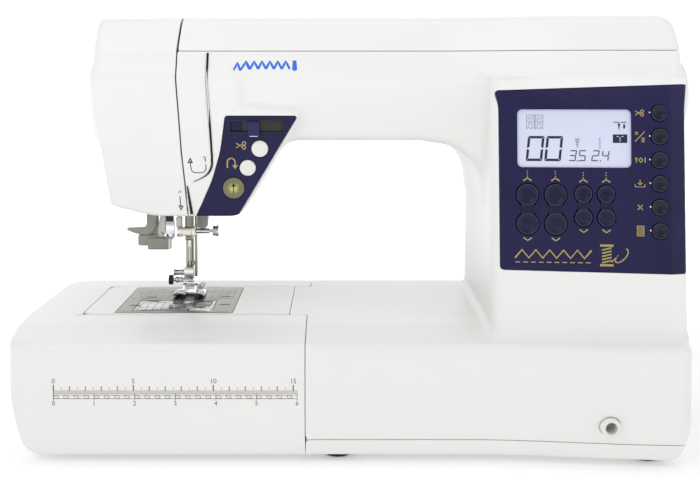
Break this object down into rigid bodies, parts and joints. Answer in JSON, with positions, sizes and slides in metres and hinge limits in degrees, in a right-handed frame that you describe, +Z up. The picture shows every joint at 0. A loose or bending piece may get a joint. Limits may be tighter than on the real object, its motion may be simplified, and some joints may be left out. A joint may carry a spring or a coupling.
{
  "type": "sewing machine",
  "caption": "Household electronic sewing machine with a free arm, an extension table, a needle head, a hinged lid, a display panel and its inner drive.",
  "frame": {"origin": "middle of the footprint, on the surface that the feet stand on", "axes": "+X along the bed to the hand wheel, +Y to the back, +Z up; the user sits at -Y"},
  "size_m": [0.457, 0.1976, 0.2875],
  "materials": {
    "white_shell": "satin moulded",
    "navy_panel": "satin dark blue",
    "display": "pale liquid-crystal glass on a circuit board",
    "ivory_plastic": "satin",
    "start_key": "translucent, lit from behind",
    "black_plastic": "fine texture",
    "rubber": "matt",
    "cast_frame": "as cast",
    "steel": "ground and polished",
    "plated_steel": "polished plating",
    "belt_rubber": "toothed belt",
    "clear_plastic": "clear moulded cover",
    "grey_plastic": "satin",
    "motor_case": "satin"
  },
  "bodies": {
    "machine": {"base_pan": "white_shell", "front_cover": "white_shell", "rear_cover": "white_shell", "face_cover": "white_shell", "free_arm_cover": "white_shell", "control_panel": "navy_panel", "display_board": "display", "head_panel": "navy_panel", "power_inlet": "black_plastic", "foot_front_left": "rubber", "foot_front_right": "rubber", "foot_rear_left": "rubber", "foot_rear_right": "rubber", "knee_lift_socket": "ivory_plastic", "main_frame": "cast_frame", "timing_belt": "belt_rubber", "motor": "motor_case", "motor_belt": "belt_rubber", "bobbin_case": "black_plastic", "needle_plate": "plated_steel", "spool_pin": "ivory_plastic"},
    "lid": {"top_lid": "white_shell"},
    "table": {"extension_table": "white_shell"},
    "door": {"storage_door": "white_shell"},
    "slider": {"speed_slider": "navy_panel"},
    "trim_button": {"thread_trim_button": "ivory_plastic"},
    "reverse": {"reverse_button": "ivory_plastic"},
    "start_stop": {"start_stop_button": "start_key"},
    "switch": {"power_switch": "black_plastic"},
    "upper_drive": {"main_shaft": "steel", "hand_wheel": "white_shell"},
    "lower_drive": {"lower_shaft": "steel", "drive_gear": "steel"},
    "hook": {"rotary_hook": "steel"},
    "motor_drive": {"motor_pulley": "steel"},
    "needle_unit": {"needle_bar": "plated_steel", "needle_clamp": "plated_steel", "needle": "plated_steel"},
    "clamp_knob": {"clamp_screw": "plated_steel"},
    "rod": {"connecting_rod": "steel"},
    "take_up": {"take_up_lever": "plated_steel"},
    "presser_unit": {"presser_bar": "plated_steel", "foot_holder": "plated_steel", "presser_foot": "plated_steel"},
    "lifter": {"presser_lever": "grey_plastic"},
    "feed": {"feed_dog": "steel"},
    "bobbin": {"bobbin": "clear_plastic"},
    "hook_cover": {"bobbin_cover": "clear_plastic"},
    "threader": {"needle_threader": "grey_plastic"},
    "winder": {"bobbin_winder": "ivory_plastic"},
    "rocker_1": {"rocker_key_1": "navy_panel"},
    "rocker_2": {"rocker_key_2": "navy_panel"},
    "rocker_3": {"rocker_key_3": "navy_panel"},
    "rocker_4": {"rocker_key_4": "navy_panel"},
    "function_1": {"function_key_1": "navy_panel"},
    "function_2": {"function_key_2": "navy_panel"},
    "function_3": {"function_key_3": "navy_panel"},
    "function_4": {"function_key_4": "navy_panel"},
    "function_5": {"function_key_5": "navy_panel"},
    "function_6": {"function_key_6": "navy_panel"}
  },
  "joints": [
    {"name": "lid_hinge", "type": "hinge", "parent": "machine", "child": "lid", "pos_m": [0, 0.0908, 0.262], "axis": [-1, 0, 0], "range_deg": [0, 95]},
    {"name": "table_slide", "type": "slide", "parent": "machine", "child": "table", "axis": [-1, 0, 0], "range_m": [0, 0.2]},
    {"name": "door_hinge", "type": "hinge", "parent": "table", "child": "door", "pos_m": [-0.2285, 0.007, 0.044], "axis": [0, -1, 0], "range_deg": [0, 85]},
    {"name": "speed_slide", "type": "slide", "parent": "machine", "child": "slider", "axis": [1, 0, 0], "range_m": [-0.011, 0.015]},
    {"name": "trim_press", "type": "slide", "parent": "machine", "child": "trim_button", "axis": [0, 0.9887, 0.1496], "range_m": [0, 0.001], "stiffness_N_per_m": 600, "springref_m": -0.0008},
    {"name": "reverse_press", "type": "slide", "parent": "machine", "child": "reverse", "axis": [0, 0.9887, 0.1496], "range_m": [0, 0.001], "stiffness_N_per_m": 600, "springref_m": -0.0008},
    {"name": "start_stop_press", "type": "slide", "parent": "machine", "child": "start_stop", "axis": [0, 0.9887, 0.1496], "range_m": [0, 0.001], "stiffness_N_per_m": 600, "springref_m": -0.0008},
    {"name": "rocker_tilt_1", "type": "hinge", "parent": "machine", "child": "rocker_1", "pos_m": [0.1028, -0.06871, 0.1608], "axis": [0.9965, -0.0838, 0], "range_deg": [-3, 3], "stiffness_Nm_per_rad": 0.3},
    {"name": "rocker_tilt_2", "type": "hinge", "parent": "machine", "child": "rocker_2", "pos_m": [0.1204, -0.0702, 0.1608], "axis": [0.9965, -0.0838, 0], "range_deg": [-3, 3], "stiffness_Nm_per_rad": 0.3},
    {"name": "rocker_tilt_3", "type": "hinge", "parent": "machine", "child": "rocker_3", "pos_m": [0.1378, -0.07146, 0.1632], "axis": [0.9965, -0.0838, 0], "range_deg": [-3, 3], "stiffness_Nm_per_rad": 0.3},
    {"name": "rocker_tilt_4", "type": "hinge", "parent": "machine", "child": "rocker_4", "pos_m": [0.152, -0.07265, 0.1632], "axis": [0.9965, -0.0838, 0], "range_deg": [-3, 3], "stiffness_Nm_per_rad": 0.3},
    {"name": "function_press_1", "type": "slide", "parent": "machine", "child": "function_1", "axis": [0.0835, 0.9931, -0.0821], "range_m": [0, 0.001], "stiffness_N_per_m": 600, "springref_m": -0.0008},
    {"name": "function_press_2", "type": "slide", "parent": "machine", "child": "function_2", "axis": [0.0835, 0.9931, -0.0821], "range_m": [0, 0.001], "stiffness_N_per_m": 600, "springref_m": -0.0008},
    {"name": "function_press_3", "type": "slide", "parent": "machine", "child": "function_3", "axis": [0.0835, 0.9931, -0.0821], "range_m": [0, 0.001], "stiffness_N_per_m": 600, "springref_m": -0.0008},
    {"name": "function_press_4", "type": "slide", "parent": "machine", "child": "function_4", "axis": [0.0835, 0.9931, -0.0821], "range_m": [0, 0.001], "stiffness_N_per_m": 600, "springref_m": -0.0008},
    {"name": "function_press_5", "type": "slide", "parent": "machine", "child": "function_5", "axis": [0.0835, 0.9931, -0.0821], "range_m": [0, 0.001], "stiffness_N_per_m": 600, "springref_m": -0.0008},
    {"name": "function_press_6", "type": "slide", "parent": "machine", "child": "function_6", "axis": [0.0835, 0.9931, -0.0821], "range_m": [0, 0.001], "stiffness_N_per_m": 600, "springref_m": -0.0008},
    {"name": "power_rocker", "type": "hinge", "parent": "machine", "child": "switch", "pos_m": [0.204, 0.012, 0.052], "axis": [0, 1, 0], "range_deg": [0, 8]},
    {"name": "main_shaft_spin", "type": "hinge", "parent": "machine", "child": "upper_drive", "pos_m": [0, 0.027, 0.232], "axis": [1, 0, 0], "continuous": true},
    {"name": "lower_shaft_spin", "type": "hinge", "parent": "machine", "child": "lower_drive", "pos_m": [0, 0.027, 0.044], "axis": [1, 0, 0], "continuous": true},
    {"name": "hook_spin", "type": "hinge", "parent": "machine", "child": "hook", "pos_m": [-0.125, 0.002, 0.05], "axis": [0, 0, 1], "continuous": true},
    {"name": "motor_spin", "type": "hinge", "parent": "machine", "child": "motor_drive", "pos_m": [0.12, -0.02, 0.052], "axis": [1, 0, 0], "continuous": true},
    {"name": "needle_stroke", "type": "slide", "parent": "machine", "child": "needle_unit", "axis": [0, 0, -1], "range_m": [0, 0.033]},
    {"name": "clamp_screw_turn", "type": "hinge", "parent": "needle_unit", "child": "clamp_knob", "pos_m": [-0.112, 0.027, 0.134], "axis": [1, 0, 0], "range_deg": [0, 270]},
    {"name": "rod_swing", "type": "hinge", "parent": "needle_unit", "child": "rod", "pos_m": [-0.1184, 0.027, 0.211], "axis": [1, 0, 0], "range_deg": [-20, 20]},
    {"name": "take_up_swing", "type": "hinge", "parent": "machine", "child": "take_up", "pos_m": [-0.1246, 0.012, 0.228], "axis": [1, 0, 0], "range_deg": [0, 40]},
    {"name": "presser_lift", "type": "slide", "parent": "machine", "child": "presser_unit", "axis": [0, 0, 1], "range_m": [0, 0.006]},
    {"name": "presser_lever_turn", "type": "hinge", "parent": "machine", "child": "lifter", "pos_m": [-0.11, 0.0525, 0.16], "axis": [0, -1, 0], "range_deg": [0, 60]},
    {"name": "feed_stroke", "type": "slide", "parent": "machine", "child": "feed", "axis": [0, 1, 0], "range_m": [-0.0025, 0.0025]},
    {"name": "bobbin_spin", "type": "hinge", "parent": "machine", "child": "bobbin", "pos_m": [-0.125, 0.002, 0.074], "axis": [0, 0, 1], "continuous": true},
    {"name": "hook_cover_hinge", "type": "hinge", "parent": "machine", "child": "hook_cover", "pos_m": [-0.131, -0.021, 0.0857], "axis": [1, 0, 0], "range_deg": [0, 60]},
    {"name": "threader_slide", "type": "slide", "parent": "machine", "child": "threader", "axis": [0, 0, -1], "range_m": [0, 0.016], "stiffness_N_per_m": 80, "springref_m": -0.01},
    {"name": "winder_spin", "type": "hinge", "parent": "machine", "child": "winder", "pos_m": [0.15, 0.012, 0.265], "axis": [0, 0, 1], "continuous": true}
  ],
  "couplings": [
    {"joint": "lower_shaft_spin", "follows": "main_shaft_spin", "ratio": 1},
    {"joint": "hook_spin", "follows": "main_shaft_spin", "ratio": 2},
    {"joint": "motor_spin", "follows": "main_shaft_spin", "ratio": 2.4286},
    {"joint": "presser_lever_turn", "follows": "presser_lift", "rad_per_m": 174.53}
  ]
}
